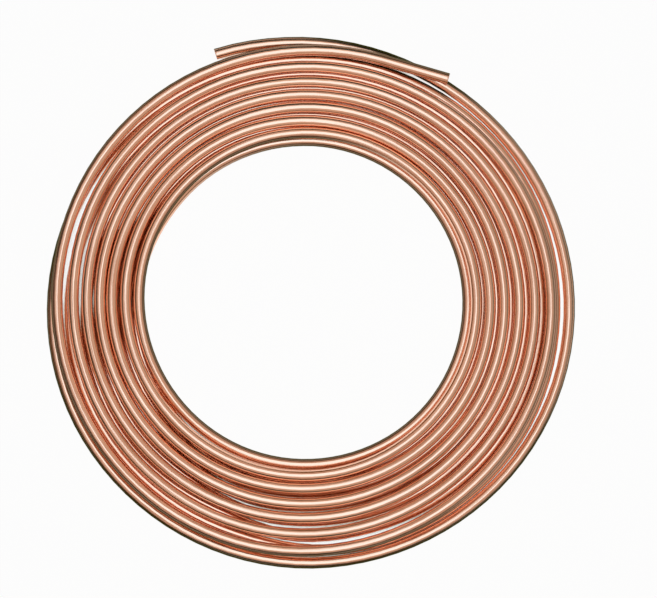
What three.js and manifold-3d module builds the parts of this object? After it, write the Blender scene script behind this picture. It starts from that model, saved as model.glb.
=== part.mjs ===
// Soft copper tube, annealed and wound flat in two layers, with both of its ends free.
//
// Millimetres, +Z up. The coil lies flat: its lower layer stands on z = 0, and the origin
// is under the middle of its box. Angles run clockwise from +Y as seen from above, the way
// the tube runs from its start end to its finish end.

import * as THREE from 'three';
import { mergeVertices } from 'three/addons/utils/BufferGeometryUtils.js';
import Module from 'manifold-3d';

const wasm = await Module();
wasm.setup();

// The tube: 3/8 in soft tube with a 0.032 in wall.
const tubeOutside = 9.525;
const tubeWall = 0.81;

// The wound pack. Each upper turn lies in the valley between two lower turns.
const eyeRadius = 129.3;
const turnPitch = 11;
const upperTurns = 6;

// The outer turn of the lower layer, from the free start end to where it joins the pack.
const outerTurnRadius = 214;
const startAngle = -20;
const closeAngle = 205;
const joinAngle = 335;

// The finish end climbs off the outermost upper turn, runs outward and crosses the outer turn.
const climbAngle = 217;
const runOutAngle = 245;
const crossAngle = 345;
const finishAngle = 392.5;
const finishOverhang = 3.5;
const crossGap = 0.3;

// Both ends are cut square and open, and are modelled hollow this deep.
const boreDepth = 30;
const boreOvercut = 5;

// Facets.
const sectionSides = 10;
const stepsPerTurn = 40;

const tubeRadius = tubeOutside / 2;
const boreRadius = tubeRadius - tubeWall;
const innerTurnRadius = eyeRadius + tubeRadius;
const lowerRowRadius = innerTurnRadius + upperTurns * turnPitch;
const upperRowRadius = lowerRowRadius - turnPitch / 2;
const lowerHeight = tubeRadius;
const upperHeight = lowerHeight + Math.sqrt(tubeOutside ** 2 - (turnPitch / 2) ** 2);
const crossHeight = lowerHeight + tubeOutside + crossGap;

// A section's flats lie on the true circle, so its corners stand a little outside of it.
const cornerStep = (2 * Math.PI) / sectionSides;
const cornerOver = 1 / Math.cos(cornerStep / 2);

const copper = new THREE.MeshStandardMaterial({ color: 0xc9805f, roughness: 0.28, metalness: 1 });

// --- The wound pack: one turned solid, whose profile is the outline of a chain of tubes ---

// Tube centres from the eye outward, lower and upper in turn.
function chainOfTubes() {
  const centres = [];
  for (let step = 0; step <= 2 * upperTurns; step += 1) {
    const height = step % 2 === 0 ? lowerHeight : upperHeight;
    centres.push(new THREE.Vector2(innerTurnRadius + (step * turnPitch) / 2, height));
  }
  return centres;
}

// Where two neighbouring outlines cross; side is -1 below the chain and 1 above it.
function crossingPoint(inner, outer, radius, side) {
  const along = outer.clone().sub(inner);
  const half = along.length() / 2;
  const across = new THREE.Vector2(-along.y, along.x).normalize();
  const middle = inner.clone().add(outer).multiplyScalar(0.5);
  return middle.addScaledVector(across, side * Math.sqrt(radius ** 2 - half ** 2));
}

// Counterclockwise along a tube's outline, from one crossing through its corners to just
// before the next one. A corner very near a crossing is left out.
function roundOutline(centre, radius, from, to) {
  const first = from.clone().sub(centre).angle();
  let last = to.clone().sub(centre).angle();
  if (last <= first) last += 2 * Math.PI;
  const nearest = cornerStep / 4;
  const points = [from];
  for (let index = Math.ceil(first / cornerStep); index * cornerStep < last; index += 1) {
    const angle = index * cornerStep;
    if (angle - first > nearest && last - angle > nearest) {
      const corner = new THREE.Vector2(Math.cos(angle), Math.sin(angle));
      points.push(corner.multiplyScalar(radius).add(centre));
    }
  }
  return points;
}

// Outward below the chain, round the outermost tube, back above the chain and round the
// innermost tube.
function packProfile() {
  const radius = tubeRadius * cornerOver;
  const chain = chainOfTubes();
  const below = [];
  const above = [];
  for (let index = 0; index + 1 < chain.length; index += 1) {
    below.push(crossingPoint(chain[index], chain[index + 1], radius, -1));
    above.push(crossingPoint(chain[index], chain[index + 1], radius, 1));
  }
  const profile = [];
  for (let index = 1; index + 1 < chain.length; index += 1) {
    profile.push(...roundOutline(chain[index], radius, below[index - 1], below[index]));
  }
  profile.push(...roundOutline(chain.at(-1), radius, below.at(-1), above.at(-1)));
  for (let index = chain.length - 2; index > 0; index -= 1) {
    profile.push(...roundOutline(chain[index], radius, above[index], above[index - 1]));
  }
  profile.push(...roundOutline(chain[0], radius, above[0], below[0]));
  profile.push(profile[0].clone());
  return profile;
}

function turnedPack() {
  return new THREE.LatheGeometry(packProfile(), stepsPerTurn).rotateX(Math.PI / 2);
}

// --- The free stretches of the tube, swept along their own winding ---

class Winding extends THREE.Curve {
  constructor(fromAngle, toAngle, radiusAt, heightAt) {
    super();
    this.fromAngle = fromAngle;
    this.toAngle = toAngle;
    this.radiusAt = radiusAt;
    this.heightAt = heightAt;
    this.steps = Math.round((Math.abs(toAngle - fromAngle) / 360) * stepsPerTurn);
  }

  getPoint(t, target = new THREE.Vector3()) {
    const angle = THREE.MathUtils.lerp(this.fromAngle, this.toAngle, t);
    const turned = THREE.MathUtils.degToRad(angle);
    const radius = this.radiusAt(angle);
    return target.set(radius * Math.sin(turned), radius * Math.cos(turned), this.heightAt(angle));
  }

  // The steps are even in angle, not in length.
  getUtoTmapping(u) {
    return u;
  }
}

function easeBetween(angle, fromAngle, toAngle, fromValue, toValue) {
  const share = THREE.MathUtils.smoothstep(angle, fromAngle, toAngle);
  return THREE.MathUtils.lerp(fromValue, toValue, share);
}

// The outer turn lies apart from the pack, closes up to it and runs into its outermost turn.
function outerTurn() {
  const radiusAt = (angle) => easeBetween(angle, closeAngle, joinAngle, outerTurnRadius, lowerRowRadius);
  const heightAt = () => lowerHeight;
  return new Winding(startAngle, joinAngle, radiusAt, heightAt);
}

// The finish stretch runs out above the gap behind the pack, and then over the outer turn.
function finishStretch() {
  const gapRadius = (lowerRowRadius + outerTurnRadius) / 2;
  const overhang = outerTurnRadius + finishOverhang - gapRadius;
  const runOutAt = (angle) => easeBetween(angle, runOutAngle, crossAngle, upperRowRadius, gapRadius);
  const radiusAt = (angle) => runOutAt(angle) + easeBetween(angle, crossAngle, finishAngle, 0, overhang);
  const heightAt = (angle) => easeBetween(angle, climbAngle, runOutAngle, upperHeight, crossHeight);
  return new Winding(finishAngle, climbAngle, radiusAt, heightAt);
}

// A flat of the section faces down, as on the turned pack.
function section(radius) {
  const corners = [];
  for (let index = 0; index < sectionSides; index += 1) {
    const angle = (index + 0.5) * cornerStep;
    const corner = new THREE.Vector2(Math.cos(angle), Math.sin(angle));
    corners.push(corner.multiplyScalar(radius * cornerOver));
  }
  return new THREE.Shape(corners);
}

function swept(path, radius, steps) {
  const settings = { steps, extrudePath: path, bevelEnabled: false };
  return toSolid(new THREE.ExtrudeGeometry(section(radius), settings));
}

// The bore follows the straight of the winding's first step.
function endBore(winding) {
  const mouth = winding.getPoint(0);
  const outward = mouth.clone().sub(winding.getPoint(1 / winding.steps)).normalize();
  const outside = mouth.clone().addScaledVector(outward, boreOvercut);
  const bottom = mouth.clone().addScaledVector(outward, -boreDepth);
  return swept(new THREE.LineCurve3(outside, bottom), boreRadius, 1);
}

function openTube(winding) {
  return swept(winding, tubeRadius, winding.steps).subtract(endBore(winding));
}

// --- Joining ---

function toSolid(geometry) {
  geometry.deleteAttribute('normal');
  geometry.deleteAttribute('uv');
  const merged = mergeVertices(geometry, 1e-4);
  return new wasm.Manifold(new wasm.Mesh({
    numProp: 3,
    vertProperties: new Float32Array(merged.attributes.position.array),
    triVerts: new Uint32Array(merged.index.array),
  }));
}

function toGeometry(solid) {
  const mesh = solid.getMesh();
  const geometry = new THREE.BufferGeometry();
  geometry.setAttribute('position', new THREE.BufferAttribute(new Float32Array(mesh.vertProperties), 3));
  geometry.setIndex(new THREE.BufferAttribute(new Uint32Array(mesh.triVerts), 1));
  return geometry;
}

function tubeCoil() {
  const solid = toSolid(turnedPack()).add(openTube(outerTurn())).add(openTube(finishStretch()));
  const geometry = toGeometry(solid);
  geometry.computeBoundingBox();
  const middle = geometry.boundingBox.getCenter(new THREE.Vector3());
  geometry.translate(-middle.x, -middle.y, 0);
  geometry.computeVertexNormals();

  const mesh = new THREE.Mesh(geometry, copper);
  mesh.name = 'copper_tube';
  return mesh;
}

const coil = new THREE.Group();
coil.add(tubeCoil());

export default coil;
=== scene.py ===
"""Coil of soft copper tube: the visual model, in metres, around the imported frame."""
import math

import bmesh
import bpy
from mathutils import Matrix, Vector


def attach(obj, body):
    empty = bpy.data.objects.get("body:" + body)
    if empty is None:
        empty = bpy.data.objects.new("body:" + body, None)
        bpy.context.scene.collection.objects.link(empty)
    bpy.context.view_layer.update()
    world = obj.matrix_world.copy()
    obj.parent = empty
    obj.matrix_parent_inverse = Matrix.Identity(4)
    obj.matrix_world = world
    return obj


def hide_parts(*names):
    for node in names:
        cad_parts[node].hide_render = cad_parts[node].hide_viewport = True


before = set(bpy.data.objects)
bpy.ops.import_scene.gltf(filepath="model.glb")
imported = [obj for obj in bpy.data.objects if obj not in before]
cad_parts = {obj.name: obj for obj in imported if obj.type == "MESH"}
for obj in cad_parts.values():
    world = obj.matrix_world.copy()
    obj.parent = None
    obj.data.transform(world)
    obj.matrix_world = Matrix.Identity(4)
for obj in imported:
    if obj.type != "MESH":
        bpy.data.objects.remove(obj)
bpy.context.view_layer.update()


# ---- Camera and light ----
# The coil lies flat on a pale studio floor and is seen from straight above, through a long lens.
# Two long softboxes over its middle draw the bright line along the top of every turn, and a wing lamp on
# the left widens it. Two warm hoods hang low over the coil and light the slopes down into the grooves.
MM = 0.001
scene = bpy.context.scene
scene.view_settings.view_transform = "Standard"

seen_width = 538.7 * MM
seen_middle = (13.9 * MM, 3.5 * MM)
coil_mid_height = 9.5 * MM
lens_camera = bpy.data.cameras.new("camera")
lens_camera.lens = 200
lens_camera.sensor_width = 36
lens_camera.clip_end = 50
camera = bpy.data.objects.new("camera", lens_camera)
distance = seen_width * lens_camera.lens / lens_camera.sensor_width
camera.location = (*seen_middle, coil_mid_height + distance)
scene.collection.objects.link(camera)
scene.camera = camera


def hang_softbox(name, width, length, place, glow, colour):
    """Hang a soft lamp, in metres, that faces straight down and sends out `glow` times white."""
    lamp = bpy.data.lights.new(name, "AREA")
    lamp.shape = "RECTANGLE"
    lamp.size = width
    lamp.size_y = length
    watts_of_white = math.pi**2 / 4
    lamp.energy = glow * width * length * watts_of_white
    lamp.color = colour
    box = bpy.data.objects.new(name, lamp)
    box.location = place
    box.visible_camera = False
    scene.collection.objects.link(box)


hang_softbox("softbox", 1.5, 3.6, (0, 0.3, 4.0), 0.7, (1.0, 1.78, 2.45))
hang_softbox("long softbox", 1.5, 7.5, (0, 0.3, 4.02), 0.16, (0.97, 1.16, 0.96))
hang_softbox("wing", 1.4, 3.6, (-2.0, 0.3, 3.95), 0.35, (0.89, 1.16, 1.30))
hang_softbox("hood", 1.15, 1.15, (0.15, -0.02, 0.32), 0.34, (1.14, 0.87, 0.72))
hang_softbox("west hood", 1.15, 1.15, (-0.15, -0.02, 0.33), 0.2, (1.30, 0.79, 0.57))


def add_node(tree, kind, inputs=(), **settings):
    """Add a node, set its own settings, and fill or link its input sockets by name or number."""
    node = tree.nodes.new(kind)
    for name, value in settings.items():
        setattr(node, name, value)
    for socket, value in dict(inputs).items():
        if isinstance(value, bpy.types.NodeSocket):
            tree.links.new(value, node.inputs[socket])
        else:
            node.inputs[socket].default_value = value
    return node


# The walls are dim: cool above and warm near the floor, with a pale window wall to the right of the coil.
room = bpy.data.worlds.new("studio room")
room.use_nodes = True
room_tree = room.node_tree
room_tree.nodes.clear()
direction = add_node(room_tree, "ShaderNodeTexCoord")
facing = add_node(room_tree, "ShaderNodeSeparateXYZ", {0: direction.outputs["Generated"]})
near_floor = add_node(
    room_tree,
    "ShaderNodeMapRange",
    {"Value": facing.outputs["Z"], "From Min": 0.15, "From Max": 0.45, "To Min": 1.0, "To Max": 0.0},
    interpolation_type="SMOOTHSTEP",
)
to_the_east = add_node(
    room_tree,
    "ShaderNodeMath",
    {0: facing.outputs["X"], 1: 0.0},
    operation="MAXIMUM",
)
walls = add_node(
    room_tree,
    "ShaderNodeMix",
    {"Factor": near_floor.outputs[0], 6: (0.0, 0.04, 0.05, 1), 7: (0.145, 0.065, 0.0, 1)},
    data_type="RGBA",
)
window_wall = add_node(
    room_tree,
    "ShaderNodeMix",
    {"Factor": to_the_east.outputs[0], 6: (0, 0, 0, 1), 7: (0.139, 0.156, 0.146, 1)},
    data_type="RGBA",
)
all_round = add_node(
    room_tree,
    "ShaderNodeMix",
    {"Factor": 1.0, 6: walls.outputs[2], 7: window_wall.outputs[2]},
    data_type="RGBA",
    blend_type="ADD",
)
room_light = add_node(
    room_tree,
    "ShaderNodeBackground",
    {"Color": all_round.outputs[2], "Strength": 1.0},
)
add_node(room_tree, "ShaderNodeOutputWorld", {"Surface": room_light.outputs[0]})
scene.world = room


# ---- Floor ----
# A sheet of matt white studio paper, far wider than the coil. It is plain, shows white to the eye and in
# the copper's shine, and takes the coil's soft shadow, most of which is painted shade: its glow is turned
# down where hardly any of the room reaches it, as in the narrow gaps between turns, and there it is
# tinted warm as a painted reflection of the copper on both sides.
floor_radius = 6.0
paper_white = 0.96
shadow_reach = 60 * MM


def from_hex(code):
    """Turn an sRGB hex colour into the linear colour that shaders take."""
    shares = [int(code[i : i + 2], 16) / 255 for i in (1, 3, 5)]
    return [s / 12.92 if s <= 0.04045 else ((s + 0.055) / 1.055) ** 2.4 for s in shares] + [1]


floor_paper = bpy.data.materials.new("matt white studio paper")
floor_paper.use_nodes = True
paper = floor_paper.node_tree
paper.nodes.clear()
ray = add_node(paper, "ShaderNodeLightPath")
seen_or_mirrored = add_node(
    paper,
    "ShaderNodeMath",
    {0: ray.outputs["Is Camera Ray"], 1: ray.outputs["Is Glossy Ray"]},
    operation="MAXIMUM",
)
seen_at_all = add_node(
    paper,
    "ShaderNodeMath",
    {0: seen_or_mirrored.outputs[0], 1: ray.outputs["Is Transmission Ray"]},
    operation="MAXIMUM",
)
share_white = add_node(
    paper,
    "ShaderNodeMath",
    {0: seen_at_all.outputs[0], 1: paper_white},
    operation="MULTIPLY",
)
# Close to the coil the paper's white glow is turned down and tinted warm: painted shade, and a painted warm
# reflection of the copper.
open_sky = add_node(paper, "ShaderNodeAmbientOcclusion", {"Distance": shadow_reach}, samples=32)
in_the_clear = add_node(
    paper,
    "ShaderNodeMapRange",
    {"Value": open_sky.outputs["AO"], "From Min": 0.02, "From Max": 0.07, "To Min": 0.10, "To Max": 1.0},
)
lit = add_node(paper, "ShaderNodeBsdfDiffuse", {"Color": from_hex("#f6f6f5")})
sheen = add_node(
    paper,
    "ShaderNodeMix",
    {"Factor": in_the_clear.outputs[0], 6: from_hex("#ffe7aa"), 7: from_hex("#ffffff")},
    data_type="RGBA",
)
white = add_node(
    paper,
    "ShaderNodeEmission",
    {"Color": sheen.outputs[2], "Strength": in_the_clear.outputs[0]},
)
sheet = add_node(
    paper,
    "ShaderNodeMixShader",
    {0: share_white.outputs[0], 1: lit.outputs[0], 2: white.outputs[0]},
)
add_node(paper, "ShaderNodeOutputMaterial", {"Surface": sheet.outputs[0]})
disc = bmesh.new()
bmesh.ops.create_circle(disc, cap_ends=True, segments=96, radius=floor_radius)
floor_mesh = bpy.data.meshes.new("floor")
disc.to_mesh(floor_mesh)
disc.free()
floor_mesh.materials.append(floor_paper)
floor = bpy.data.objects.new("floor", floor_mesh)
scene.collection.objects.link(floor)


# ---- The tube, wound into a coil ----
# One length of soft copper tube, drawn through a die and annealed, 9.525 mm outside with a 0.81 mm wall.
# It is wound flat on the floor from the rim to the eye, climbs there, and is wound outwards again
# in the grooves of the turns below. Both ends are sawn off square and lie free.

# Lengths are in mm, and a place along the tube is its number of turns from the top of the coil, clockwise.
tube_outside = 9.525
tube_wall = 0.81
broken_edge = 0.2
winding_centre = (-3.3, -1.0)
eye_radius = 138.8
start_clock = -20.2 / 360
loose_turns = 2
loose_radius = 220.2
lower_turns = 7
lower_lies_out = 6.47
climb_begins = 7.2
first_turn_up = 8
whole_turns = 14
finish_clock = whole_turns + 32 / 360
sides = 24
stations_per_turn = 96


def ease(value, begin, end):
    """Rise smoothly from 0 at begin to 1 at end."""
    share = min(max((value - begin) / (end - begin), 0), 1)
    return share * share * (3 - 2 * share)


def hump(value, begin, full, until, end):
    """Rise from 0 to 1 between begin and full, and fall back to 0 between until and end."""
    return ease(value, begin, full) * (1 - ease(value, until, end))


def lie_radius(out, clock):
    """Radius of the winding `out` turns outside the eye's first, at a clock position in turns from the top.

    The pitch opens up a little towards the rim, and the coil is slightly oval and off centre.
    """
    angle = math.tau * clock
    pitch_growth = 9.91 * out + 0.297 * out * out if out > 0 else 10.7 * out
    off_centre = (3.1 - 0.53 * out) * math.cos(angle) + (0.68 * out - 3.4) * math.sin(angle)
    oval = 0.67 * math.cos(2 * (angle - math.radians(108)))
    return eye_radius + pitch_growth + off_centre + oval


# Each lower turn slips inwards under the turn above it in its own way: between the first two angles, in
# degrees, by this share of a turn's width, and between the last two by most of the rest.
slips = {
    2: (119, 168, 0.285, 179, 208),
    3: (106, 189, 0.295, 186, 221),
    4: (112, 180, 0.26, 189, 234),
    5: (108, 200, 0.26, 196, 246),
    6: (107, 185, 0.155, 193, 254),
}
slipped_by_then = 0.85


def lower_lie(wound):
    """How far out a lower turn lies: in a groove, but for the two places where it slips under a turn."""
    turn = math.floor(wound)
    degrees = 360 * (wound - turn)
    begin, end, share, rest_begin, rest_end = slips[turn]
    out = lower_lies_out - turn + degrees / 360 - share * ease(degrees, begin, end)
    out -= (slipped_by_then - share) * ease(degrees, rest_begin, rest_end)
    out -= (1 - slipped_by_then) * ease(degrees, 225, 252)
    later = 2 * min(turn, 5)
    out -= ease(degrees, 232 + later, 304 + later)
    if turn == 2:
        out -= 0.05 * hump(degrees, 0, 20, 125, 150)
    elif turn == 6:
        out -= 0.12 * ease(degrees, 300, 345)
    else:
        out += 0.045 * hump(degrees, 285, 300, 340, 360)
    return out


# The first two turns lie loosely. Between two angles, in degrees, each of these lets the tube out or draws
# it in by so many mm.
slack = (
    (-40, 32, -7.1),
    (-24, -3, -1.1),
    (38, 105, 3.3),
    (104, 176, -3.0),
    (175, 230, -1.1),
    (238, 360, -10.7),
    (360, 440, 2.5),
    (445, 485, 1.8),
    (468, 560, -3.0),
    (533, 562, -5.0),
    (602, 692, -7.58),
)

# It is wound by hand, so the upper turns stray from an even spiral: after so many turns, over so many
# turns to both sides, by so many mm outwards.
strays = (
    (7.30, 0.40, 0.75),
    (7.59, 0.12, 0.4),
    (7.98, 0.10, -0.55),
    (8.33, 0.15, -0.4),
    (8.59, 0.12, -0.3),
    (8.70, 0.22, -0.9),
    (9.05, 0.20, -0.45),
    (9.50, 0.15, -0.7),
    (9.75, 0.12, 0.45),
    (10.10, 0.20, 0.85),
    (10.67, 0.14, -0.6),
    (12.70, 0.15, -0.55),
    (13.57, 0.10, 0.6),
)


def stray(wound):
    """How far a turn lies off the even spiral. The outer ones are also pressed in at three places."""
    total = -0.5 * hump(wound, 11.1, 11.4, 13.3, 13.5)
    for middle, reach, far in strays:
        aside = min(abs(wound - middle) / reach, 1)
        total += far * (1 + math.cos(math.pi * aside)) / 2
    pressed = math.cos(3 * (math.tau * wound - math.radians(20)))
    return total - 0.42 * ease(wound, 11.1, 11.3) * pressed


def turn_radius(wound):
    """Plan radius of the tube's centre after `wound` turns from the top."""
    if wound < loose_turns:
        return loose_radius + sum(far * ease(360 * wound, begin, end) for begin, end, far in slack)
    if wound < lower_turns:
        return lie_radius(lower_lie(wound), wound)
    out = wound - first_turn_up
    if out < 0:
        # The turn that climbs from the lower layer to the upper one.
        degrees = 360 * (out + 1)
        out += 0.47 * (1 - ease(degrees, 120, 265)) - 0.12 * (1 - ease(degrees, 320, 360))
        out -= 0.04 * hump(degrees, 60, 120, 150, 200) + 0.1 * hump(degrees, 140, 270, 310, 355)
    # The last stretch swings outwards, across the start of the tube.
    past_top = 360 * (wound - whole_turns)
    swing = max(0, past_top - 17) / 15
    outwards = 0.85 * ease(past_top, -20, 25) + 7.4 * swing**2
    return lie_radius(out, wound) + stray(wound) + outwards


def lift(wound):
    """How far a turn is held up by the lower turns that it lies on."""
    radius = turn_radius(wound)
    clock = wound - math.floor(wound)
    held = 0
    for turn in range(-1, lower_turns):
        below = turn + clock
        if below < start_clock or below > wound - 0.5:
            continue
        aside = abs(radius - turn_radius(below))
        if aside < tube_outside:
            held = max(held, math.sqrt(tube_outside**2 - aside**2))
    return held


def centre_height(wound):
    """The tube is stiff, so it takes the mean of what holds it up over a short way to both sides."""
    reach = 16 / 360
    if wound < climb_begins:
        return tube_outside / 2
    shares = [(near / 4, 1 - abs(near) / 5) for near in range(-4, 5)]
    total = 0
    for near, weight in shares:
        place = min(wound + near * reach, finish_clock)
        total += weight * (lift(place) if place >= climb_begins else 0)
    mean = total / sum(weight for near, weight in shares)
    over_start = tube_outside * ease(360 * (wound - whole_turns), -4, 20)
    return tube_outside / 2 + max(mean, over_start)


def centre(wound):
    """The middle of the tube after `wound` turns."""
    angle = math.tau * wound
    radius = turn_radius(wound)
    return Vector(
        (
            winding_centre[0] + radius * math.sin(angle),
            winding_centre[1] + radius * math.cos(angle),
            centre_height(wound),
        )
    )


def painted_flank_shade(wound, leaning):
    """How far, from 0 to 1, a side that faces the rim or the eye is painted dark, as painted shade and a
    painted dark reflection.

    A point leans by 0 degrees on top of the tube, 90 on the rim's side and -90 on the eye's side.
    """
    if leaning < 0:
        return 0.95 * hump(wound, 6.8, 7, 8, 8.15) * hump(-leaning, 15, 58, 95, 130)
    if wound < 1.1:
        degrees = 360 * wound
        wider = 2 * hump(degrees, -5, 12, 25, 45) + ease(degrees, 100, 125)
        wider -= 0.5 * hump(degrees, 245, 262, 268, 282)
        return hump(leaning, 32 - 8 * wider, 60 - 16 * wider, 95, 130)
    degrees = 360 * (wound - 13)
    strength = ease(degrees, 29, 43) * (0.65 + 0.3 * ease(degrees, 125, 165))
    strength -= 0.25 * hump(degrees, 335, 350, 370, 380)
    shade_ends_at = 72 + 23 * ease(degrees, 255, 285)
    return strength * hump(leaning, 28, 50, shade_ends_at, shade_ends_at + 30)


def section_frame(wound):
    """Stand a section across the tube: X outwards from the coil, Y up, Z along the tube."""
    near = 0.002
    along = (centre(wound + near) - centre(wound - near)).normalized()
    outwards = Vector((0, 0, 1)).cross(along).normalized()
    up = along.cross(outwards)
    turned = Matrix((outwards, up, along)).transposed().to_4x4()
    return Matrix.Translation(centre(wound) * MM) @ turned


# The tube is first made straight along Z, one metre a turn: two circles, drawn out, closed at both sawn
# faces, with its sharp rims broken, and then cut across into the sections that it is bent at.
tube = bmesh.new()
for radius in (tube_outside / 2, tube_outside / 2 - tube_wall):
    bmesh.ops.create_circle(tube, cap_ends=False, segments=sides, radius=radius * MM)
bmesh.ops.translate(tube, vec=(0, 0, start_clock), verts=tube.verts)
near_rim = tube.edges[:]
bmesh.ops.bridge_loops(tube, edges=near_rim)
drawn = bmesh.ops.extrude_edge_only(tube, edges=near_rim)["geom"]
far_points = [part for part in drawn if isinstance(part, bmesh.types.BMVert)]
bmesh.ops.translate(tube, vec=(0, 0, finish_clock - start_clock), verts=far_points)
far_rim = [e for e in tube.edges if e.is_boundary]
bmesh.ops.bridge_loops(tube, edges=far_rim)
bmesh.ops.recalc_face_normals(tube, faces=tube.faces)
bmesh.ops.bevel(
    tube,
    geom=near_rim + far_rim,
    offset=broken_edge * MM,
    affect="EDGES",
    segments=2,
    profile=0.5,
    material=-1,
)
just_behind = 0.001
for behind_rim in (start_clock + just_behind, finish_clock - just_behind):
    everything = tube.verts[:] + tube.edges[:] + tube.faces[:]
    bmesh.ops.bisect_plane(tube, geom=everything, plane_co=(0, 0, behind_rim), plane_no=(0, 0, 1))
stations = round((finish_clock - start_clock) * stations_per_turn)
lengthwise = [e for e in tube.edges if abs(e.verts[0].co.z - e.verts[1].co.z) > 1]
bmesh.ops.subdivide_edges(tube, edges=lengthwise, cuts=stations - 1, use_grid_fill=True)

# Then every section is carried to its place on the winding. Each point keeps where it lay on the straight
# tube, in metres, for the marks that run along it, and how dark its side is painted as shade.
straightened = tube.verts.layers.float_vector.new("straightened")
painted_dark_side = tube.verts.layers.float.new("painted_dark_side")
sections = {}
for point in tube.verts:
    sections.setdefault(round(point.co.z, 6), []).append(point)
length = 0
last = centre(start_clock)
for wound in sorted(sections):
    here = centre(wound)
    length += (here - last).length * MM
    last = here
    stand = section_frame(wound)
    for point in sections[wound]:
        x, y = point.co.xy
        point[straightened] = (x, y, length)
        # Each side that faces the rim or the eye is painted dark here: painted shade and a painted dark
        # reflection.
        point[painted_dark_side] = painted_flank_shade(wound, math.degrees(math.atan2(x, y)))
        point.co = stand @ Vector((x, y, 0))
for face in tube.faces:
    face.smooth = True
for edge in tube.edges:
    edge.smooth = len(edge.link_faces) == 2 and edge.calc_face_angle() < math.radians(50)
tube_mesh = bpy.data.meshes.new("copper_tube_winding")
tube.to_mesh(tube_mesh)
tube.free()
winding = bpy.data.objects.new("copper_tube_winding", tube_mesh)
scene.collection.objects.link(winding)

# Soft copper, drawn through a die and bright annealed: a pink metal with a satin shine, which is a little
# duller along the fine lines that the die leaves. The sides of the coil that face the rim and the eye are
# painted a dark olive brown that hardly shines: painted shade and a painted dark reflection of the room
# around the coil. Handling has left the tone faintly uneven.
# Real die lines are a few hundredths of a mm apart, too fine to show, so they are drawn half a mm apart.
line_spacing = 0.5 * MM
line_length = 100 * MM
line_depth = 0.08 * MM
hand_mark = 22.2 * MM
copper = bpy.data.materials.new("bright annealed drawn copper")
copper.use_nodes = True
metal = copper.node_tree
metal.nodes.clear()
place = add_node(metal, "ShaderNodeAttribute", attribute_name="straightened")
die_lines = add_node(
    metal,
    "ShaderNodeMapping",
    {
        "Vector": place.outputs["Vector"],
        "Scale": (1 / line_spacing, 1 / line_spacing, 1 / line_length),
    },
)
lines = add_node(
    metal,
    "ShaderNodeTexNoise",
    {"Vector": die_lines.outputs[0], "Scale": 1.0, "Detail": 1.0, "Roughness": 0.5},
)
handling = add_node(
    metal,
    "ShaderNodeTexNoise",
    {"Vector": place.outputs["Vector"], "Scale": 1 / hand_mark, "Detail": 3.0, "Roughness": 0.55},
)
tone = add_node(
    metal,
    "ShaderNodeMix",
    {"Factor": handling.outputs["Fac"], 6: from_hex("#fdcdb1"), 7: from_hex("#fbc3a6")},
    data_type="RGBA",
)
# The sides painted dark take a dark olive brown and a dulled edge shine: painted shade and a painted dark
# reflection of the room.
dark_side_share = add_node(metal, "ShaderNodeAttribute", attribute_name="painted_dark_side")
shaded_colour = add_node(
    metal,
    "ShaderNodeMix",
    {"Factor": dark_side_share.outputs["Fac"], 6: tone.outputs[2], 7: from_hex("#38351e")},
    data_type="RGBA",
)
edge_shine = add_node(
    metal,
    "ShaderNodeMix",
    {"Factor": dark_side_share.outputs["Fac"], 6: from_hex("#ffffff"), 7: from_hex("#bcbcaa")},
    data_type="RGBA",
)
gloss = add_node(
    metal,
    "ShaderNodeMapRange",
    {"Value": lines.outputs["Fac"], "From Min": 0.3, "From Max": 0.7, "To Min": 0.09, "To Max": 0.16},
)
relief = add_node(
    metal,
    "ShaderNodeBump",
    {"Height": lines.outputs["Fac"], "Strength": 1.0, "Distance": line_depth},
)
shine = add_node(
    metal,
    "ShaderNodeBsdfPrincipled",
    {
        "Base Color": shaded_colour.outputs[2],
        "Roughness": gloss.outputs[0],
        "Metallic": 1.0,
        "Specular Tint": edge_shine.outputs[2],
        "Normal": relief.outputs[0],
    },
)
add_node(metal, "ShaderNodeOutputMaterial", {"Surface": shine.outputs[0]})
tube_mesh.materials.append(copper)
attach(winding, "root")
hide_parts("copper_tube")
